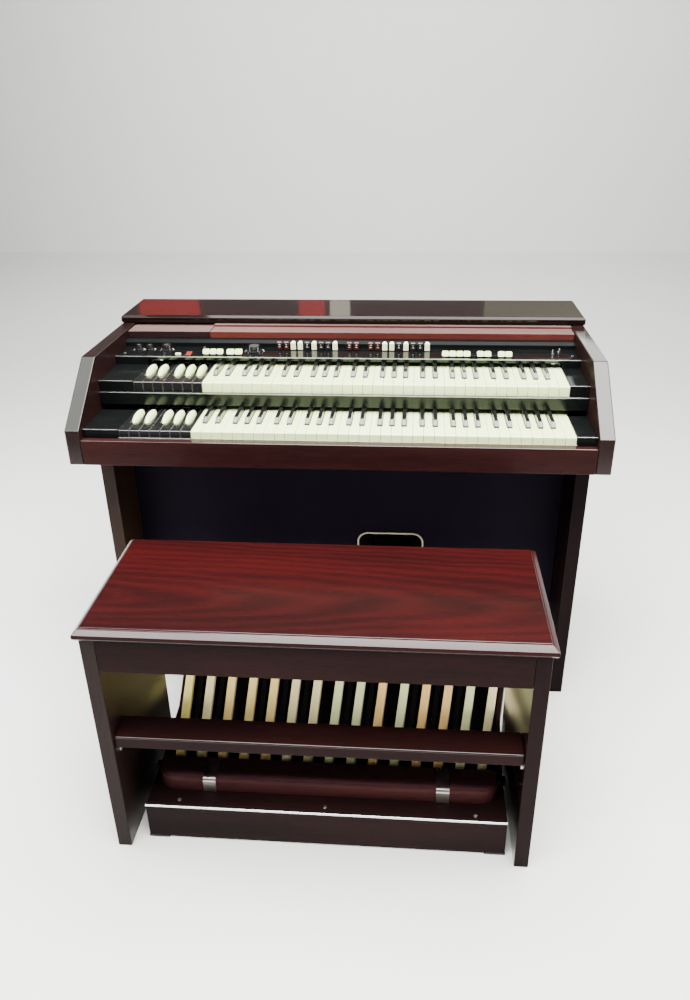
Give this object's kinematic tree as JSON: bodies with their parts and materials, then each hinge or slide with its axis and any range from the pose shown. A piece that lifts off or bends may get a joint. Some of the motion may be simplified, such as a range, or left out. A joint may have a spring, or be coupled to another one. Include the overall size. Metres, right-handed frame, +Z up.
{
  "type": "console organ",
  "caption": "Console organ with two stepped keyboards, drawbars, reverse-colour preset keys, a matching bench and a radiating pedalboard.",
  "frame": {"origin": "on the floor, in the middle of the outline of the console, bench and pedalboard together", "axes": "+Z up, +X to the right of a seated player, +Y from the bench towards the back of the console"},
  "size_m": [1.214, 1.0874, 0.938],
  "materials": {
    "mahogany": "high-gloss dark red mahogany lacquer with open grain",
    "dark_mahogany": "satin-gloss dark mahogany lacquer",
    "knee_panel_navy": "satin near-black lacquer",
    "black_wood": "ebonised satin lacquer",
    "maple": "clear satin lacquer over pale maple",
    "gloss_black": "piano black gloss",
    "ivory": "ivory-white satin gloss",
    "drawbar_brown": "warm brown gloss",
    "signal_red": "translucent red gloss",
    "black_metal": "satin black enamel with ribbed rubber tread",
    "steel": "brushed steel"
  },
  "bodies": {
    "console": {"left_arm": "mahogany", "right_arm": "mahogany", "top_board": "mahogany", "left_leg": "dark_mahogany", "right_leg": "dark_mahogany", "key_bed": "dark_mahogany", "front_rail": "mahogany", "knee_panel": "knee_panel_navy", "back_panel": "dark_mahogany", "lower_key_frame": "gloss_black", "upper_key_frame": "gloss_black", "name_board": "gloss_black", "control_deck": "gloss_black", "drawbar_box": "gloss_black", "cover_board": "mahogany", "pedal_case": "dark_mahogany", "heel_block": "mahogany", "left_strap": "steel", "right_strap": "steel"},
    "bench": {"bench_top": "mahogany", "bench_left_end": "mahogany", "bench_right_end": "mahogany", "bench_apron": "mahogany", "bench_shelf": "mahogany"},
    "expression_pedal": {"expression_pedal": "black_metal"},
    "lower_naturals": {"lower_naturals": "ivory"},
    "upper_naturals": {"upper_naturals": "ivory"},
    "lower_sharps": {"lower_sharps": "gloss_black"},
    "upper_sharps": {"upper_sharps": "gloss_black"},
    "lower_presets": {"lower_presets": "gloss_black"},
    "upper_presets": {"upper_presets": "gloss_black"},
    "left_tabs": {"left_tabs": "ivory"},
    "right_tabs": {"right_tabs": "ivory"},
    "chorus_knob": {"chorus_knob": "gloss_black"},
    "volume_knob": {"volume_knob": "gloss_black"},
    "treble_knob": {"treble_knob": "gloss_black"},
    "bass_knob": {"bass_knob": "gloss_black"},
    "power_switch": {"power_switch": "signal_red"},
    "pedal_naturals": {"pedal_naturals": "maple"},
    "pedal_sharps": {"pedal_sharps": "black_wood"},
    "upper_drawbar_1": {"upper_drawbar_1": "drawbar_brown"},
    "upper_drawbar_2": {"upper_drawbar_2": "drawbar_brown"},
    "upper_drawbar_3": {"upper_drawbar_3": "ivory"},
    "upper_drawbar_4": {"upper_drawbar_4": "ivory"},
    "upper_drawbar_5": {"upper_drawbar_5": "gloss_black"},
    "upper_drawbar_6": {"upper_drawbar_6": "ivory"},
    "upper_drawbar_7": {"upper_drawbar_7": "gloss_black"},
    "upper_drawbar_8": {"upper_drawbar_8": "gloss_black"},
    "upper_drawbar_9": {"upper_drawbar_9": "ivory"},
    "pedal_drawbar_1": {"pedal_drawbar_1": "drawbar_brown"},
    "pedal_drawbar_2": {"pedal_drawbar_2": "drawbar_brown"},
    "lower_drawbar_1": {"lower_drawbar_1": "drawbar_brown"},
    "lower_drawbar_2": {"lower_drawbar_2": "drawbar_brown"},
    "lower_drawbar_3": {"lower_drawbar_3": "ivory"},
    "lower_drawbar_4": {"lower_drawbar_4": "ivory"},
    "lower_drawbar_5": {"lower_drawbar_5": "gloss_black"},
    "lower_drawbar_6": {"lower_drawbar_6": "ivory"},
    "lower_drawbar_7": {"lower_drawbar_7": "gloss_black"},
    "lower_drawbar_8": {"lower_drawbar_8": "gloss_black"},
    "lower_drawbar_9": {"lower_drawbar_9": "ivory"}
  },
  "joints": [
    {"name": "lower_naturals_press", "type": "hinge", "parent": "console", "child": "lower_naturals", "pos_m": [0, 0.08875, 0.766], "axis": [1, 0, 0], "range_deg": [0, 3.4], "stiffness_Nm_per_rad": 60, "springref_deg": -6.88},
    {"name": "lower_sharps_press", "type": "hinge", "parent": "console", "child": "lower_sharps", "pos_m": [0, 0.08875, 0.766], "axis": [1, 0, 0], "range_deg": [0, 3.2], "stiffness_Nm_per_rad": 25, "springref_deg": -5.73},
    {"name": "lower_presets_press", "type": "hinge", "parent": "console", "child": "lower_presets", "pos_m": [0, 0.08875, 0.766], "axis": [1, 0, 0], "range_deg": [0, 3.2], "stiffness_Nm_per_rad": 25, "springref_deg": -6.88},
    {"name": "upper_naturals_press", "type": "hinge", "parent": "console", "child": "upper_naturals", "pos_m": [0, 0.22375, 0.834], "axis": [1, 0, 0], "range_deg": [0, 3.4], "stiffness_Nm_per_rad": 60, "springref_deg": -6.88},
    {"name": "upper_sharps_press", "type": "hinge", "parent": "console", "child": "upper_sharps", "pos_m": [0, 0.22375, 0.834], "axis": [1, 0, 0], "range_deg": [0, 3.2], "stiffness_Nm_per_rad": 25, "springref_deg": -5.73},
    {"name": "upper_presets_press", "type": "hinge", "parent": "console", "child": "upper_presets", "pos_m": [0, 0.22375, 0.834], "axis": [1, 0, 0], "range_deg": [0, 3.2], "stiffness_Nm_per_rad": 25, "springref_deg": -6.88},
    {"name": "upper_drawbar_1_draw", "type": "slide", "parent": "console", "child": "upper_drawbar_1", "axis": [0, -1, 0], "range_m": [0, 0.056]},
    {"name": "upper_drawbar_2_draw", "type": "slide", "parent": "console", "child": "upper_drawbar_2", "axis": [0, -1, 0], "range_m": [0, 0.056]},
    {"name": "upper_drawbar_3_draw", "type": "slide", "parent": "console", "child": "upper_drawbar_3", "axis": [0, -1, 0], "range_m": [0, 0.056]},
    {"name": "upper_drawbar_4_draw", "type": "slide", "parent": "console", "child": "upper_drawbar_4", "axis": [0, -1, 0], "range_m": [0, 0.056]},
    {"name": "upper_drawbar_5_draw", "type": "slide", "parent": "console", "child": "upper_drawbar_5", "axis": [0, -1, 0], "range_m": [0, 0.056]},
    {"name": "upper_drawbar_6_draw", "type": "slide", "parent": "console", "child": "upper_drawbar_6", "axis": [0, -1, 0], "range_m": [0, 0.056]},
    {"name": "upper_drawbar_7_draw", "type": "slide", "parent": "console", "child": "upper_drawbar_7", "axis": [0, -1, 0], "range_m": [0, 0.056]},
    {"name": "upper_drawbar_8_draw", "type": "slide", "parent": "console", "child": "upper_drawbar_8", "axis": [0, -1, 0], "range_m": [0, 0.056]},
    {"name": "upper_drawbar_9_draw", "type": "slide", "parent": "console", "child": "upper_drawbar_9", "axis": [0, -1, 0], "range_m": [0, 0.056]},
    {"name": "pedal_drawbar_1_draw", "type": "slide", "parent": "console", "child": "pedal_drawbar_1", "axis": [0, -1, 0], "range_m": [0, 0.056]},
    {"name": "pedal_drawbar_2_draw", "type": "slide", "parent": "console", "child": "pedal_drawbar_2", "axis": [0, -1, 0], "range_m": [0, 0.056]},
    {"name": "lower_drawbar_1_draw", "type": "slide", "parent": "console", "child": "lower_drawbar_1", "axis": [0, -1, 0], "range_m": [0, 0.056]},
    {"name": "lower_drawbar_2_draw", "type": "slide", "parent": "console", "child": "lower_drawbar_2", "axis": [0, -1, 0], "range_m": [0, 0.056]},
    {"name": "lower_drawbar_3_draw", "type": "slide", "parent": "console", "child": "lower_drawbar_3", "axis": [0, -1, 0], "range_m": [0, 0.056]},
    {"name": "lower_drawbar_4_draw", "type": "slide", "parent": "console", "child": "lower_drawbar_4", "axis": [0, -1, 0], "range_m": [0, 0.056]},
    {"name": "lower_drawbar_5_draw", "type": "slide", "parent": "console", "child": "lower_drawbar_5", "axis": [0, -1, 0], "range_m": [0, 0.056]},
    {"name": "lower_drawbar_6_draw", "type": "slide", "parent": "console", "child": "lower_drawbar_6", "axis": [0, -1, 0], "range_m": [0, 0.056]},
    {"name": "lower_drawbar_7_draw", "type": "slide", "parent": "console", "child": "lower_drawbar_7", "axis": [0, -1, 0], "range_m": [0, 0.056]},
    {"name": "lower_drawbar_8_draw", "type": "slide", "parent": "console", "child": "lower_drawbar_8", "axis": [0, -1, 0], "range_m": [0, 0.056]},
    {"name": "lower_drawbar_9_draw", "type": "slide", "parent": "console", "child": "lower_drawbar_9", "axis": [0, -1, 0], "range_m": [0, 0.056]},
    {"name": "left_tabs_rock", "type": "hinge", "parent": "console", "child": "left_tabs", "pos_m": [-0.302, 0.20305, 0.8831], "axis": [1, 0, 0], "range_deg": [0, 10]},
    {"name": "right_tabs_rock", "type": "hinge", "parent": "console", "child": "right_tabs", "pos_m": [0.325, 0.20305, 0.8831], "axis": [1, 0, 0], "range_deg": [0, 10]},
    {"name": "chorus_knob_turn", "type": "hinge", "parent": "console", "child": "chorus_knob", "pos_m": [-0.2285, 0.23475, 0.8803], "axis": [0, 0, 1], "range_deg": [-135, 135]},
    {"name": "volume_knob_turn", "type": "hinge", "parent": "console", "child": "volume_knob", "pos_m": [-0.454, 0.24075, 0.8803], "axis": [0, 0, 1], "range_deg": [-135, 135]},
    {"name": "treble_knob_turn", "type": "hinge", "parent": "console", "child": "treble_knob", "pos_m": [-0.498, 0.24075, 0.8803], "axis": [0, 0, 1], "range_deg": [-135, 135]},
    {"name": "bass_knob_turn", "type": "hinge", "parent": "console", "child": "bass_knob", "pos_m": [-0.526, 0.24075, 0.8803], "axis": [0, 0, 1], "range_deg": [-135, 135]},
    {"name": "power_switch_rock", "type": "hinge", "parent": "console", "child": "power_switch", "pos_m": [-0.389, 0.20475, 0.879], "axis": [1, 0, 0], "range_deg": [0, 10]},
    {"name": "expression_rock", "type": "hinge", "parent": "console", "child": "expression_pedal", "pos_m": [0.12, 0.17275, 0.2313], "axis": [1, 0, 0], "range_deg": [-12, 12]},
    {"name": "pedal_naturals_press", "type": "hinge", "parent": "console", "child": "pedal_naturals", "pos_m": [0.002, -0.38925, 0.086], "axis": [-1, 0, 0], "range_deg": [0, 2], "stiffness_Nm_per_rad": 150, "springref_deg": -6.88},
    {"name": "pedal_sharps_press", "type": "hinge", "parent": "console", "child": "pedal_sharps", "pos_m": [0.002, -0.37125, 0.064], "axis": [-1, 0, 0], "range_deg": [0, 2], "stiffness_Nm_per_rad": 150, "springref_deg": -5.73},
    {"name": "bench_move", "type": "slide", "parent": "console", "child": "bench", "axis": [0, -1, 0], "range_m": [0, 0.25]}
  ]
}
